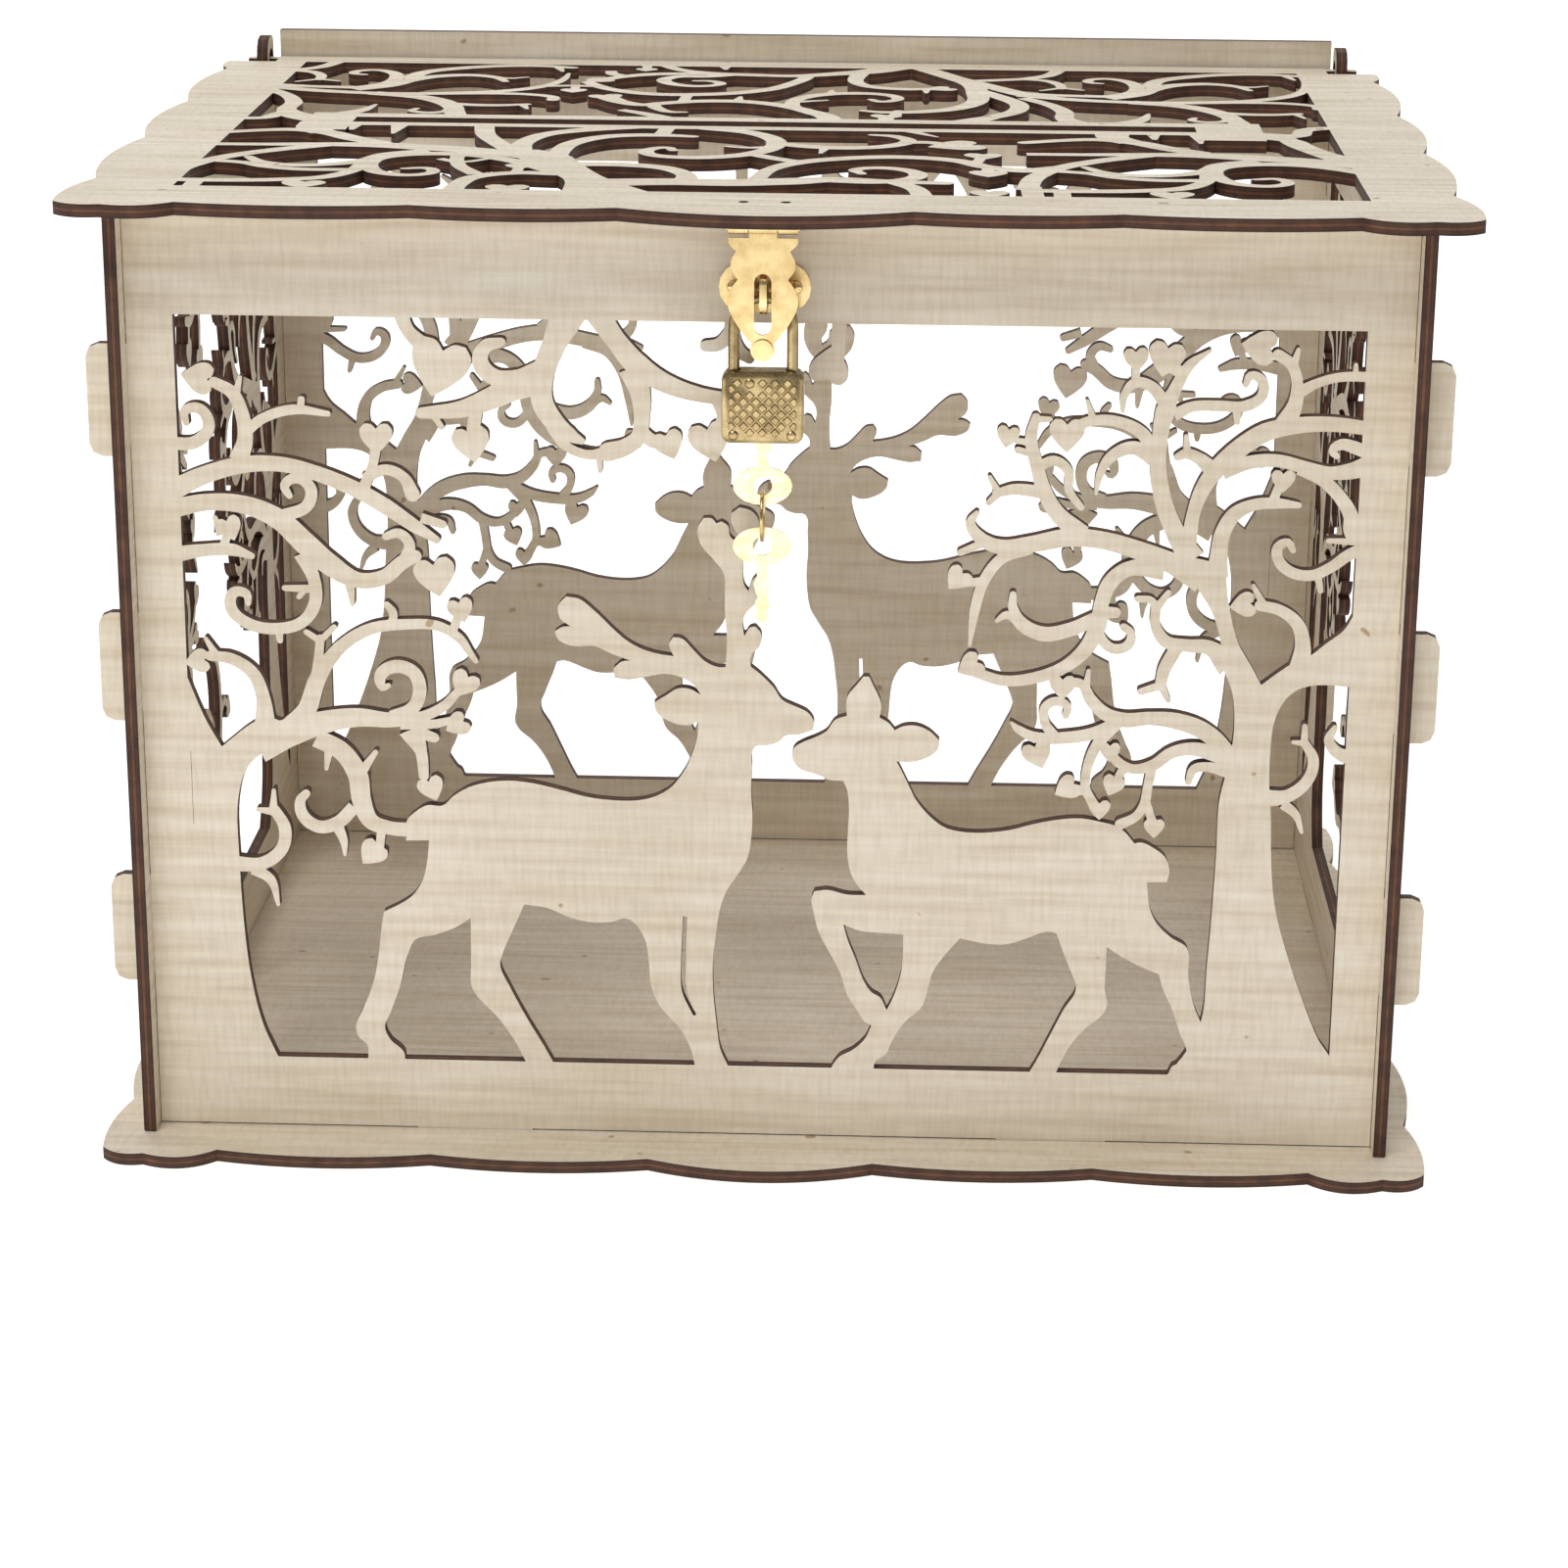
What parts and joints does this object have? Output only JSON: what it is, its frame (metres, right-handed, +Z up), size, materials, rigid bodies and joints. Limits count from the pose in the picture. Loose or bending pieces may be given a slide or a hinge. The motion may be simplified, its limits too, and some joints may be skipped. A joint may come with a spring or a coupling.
{
  "type": "wedding card box",
  "caption": "Laser-cut plywood card box: pierced woodland panels slotted into a scalloped base, and a hinged lid with a card slot and a small padlocked hasp.",
  "frame": {"origin": "on the floor, under the middle of the box", "axes": "+X to the right seen from the front, -Y to the front where the padlock hangs, +Z up"},
  "size_m": [0.3192, 0.267, 0.2394],
  "materials": {
    "plywood": "satin",
    "brass": "polished",
    "old_brass": "polished, darkened",
    "pale_brass": "polished",
    "steel": "satin"
  },
  "bodies": {
    "box": {"front_panel": "plywood", "back_panel": "plywood", "left_panel": "plywood", "right_panel": "plywood", "base_plate": "plywood", "staple": "brass", "staple_screw_1": "brass", "staple_screw_2": "brass"},
    "lid": {"lid": "plywood", "hasp_leaf": "brass", "hasp_pin": "brass", "hasp_screw_1": "brass", "hasp_screw_2": "brass"},
    "hasp": {"hasp_strap": "brass"},
    "shackle": {"padlock_shackle": "old_brass"},
    "padlock": {"padlock_case": "old_brass", "padlock_rivet_1": "old_brass", "padlock_rivet_2": "old_brass", "padlock_rivet_3": "old_brass"},
    "latch": {"padlock_latch": "steel"},
    "plug": {"padlock_plug": "old_brass", "key_in_lock": "pale_brass"},
    "ring": {"key_ring": "brass"},
    "spare": {"spare_key": "pale_brass"}
  },
  "joints": [
    {"name": "lid_hinge", "type": "hinge", "parent": "box", "child": "lid", "pos_m": [0, 0.1041, 0.2316], "axis": [-1, 0, 0], "range_deg": [0, 110]},
    {"name": "hasp_hinge", "type": "hinge", "parent": "lid", "child": "hasp", "pos_m": [-0.0005, -0.1233, 0.2276], "axis": [-1, 0, 0], "range_deg": [0, 90]},
    {"name": "shackle_sway", "type": "hinge", "parent": "box", "child": "shackle", "pos_m": [-0.0005, -0.1192, 0.21155], "axis": [-1, 0, 0], "range_deg": [-1.5, 9]},
    {"name": "padlock_release", "type": "slide", "parent": "shackle", "child": "padlock", "axis": [0, 0, -1], "range_m": [0, 0.006]},
    {"name": "key_turn", "type": "hinge", "parent": "padlock", "child": "plug", "pos_m": [-0.0005, -0.1192, 0.18], "axis": [0, 0, 1], "range_deg": [-90, 0]},
    {"name": "latch_slide", "type": "slide", "parent": "padlock", "child": "latch", "axis": [1, 0, 0], "range_m": [0, 0.001]},
    {"name": "ring_swing", "type": "hinge", "parent": "plug", "child": "ring", "pos_m": [-0.0005, -0.1192, 0.1663], "axis": [-1, 0, 0], "range_deg": [0, 20]},
    {"name": "spare_key_swing", "type": "hinge", "parent": "ring", "child": "spare", "pos_m": [-0.0005, -0.1192, 0.1553], "axis": [-1, 0, 0], "range_deg": [0, 30]}
  ],
  "couplings": [
    {"joint": "latch_slide", "follows": "key_turn", "m_per_rad": -0.000636}
  ]
}
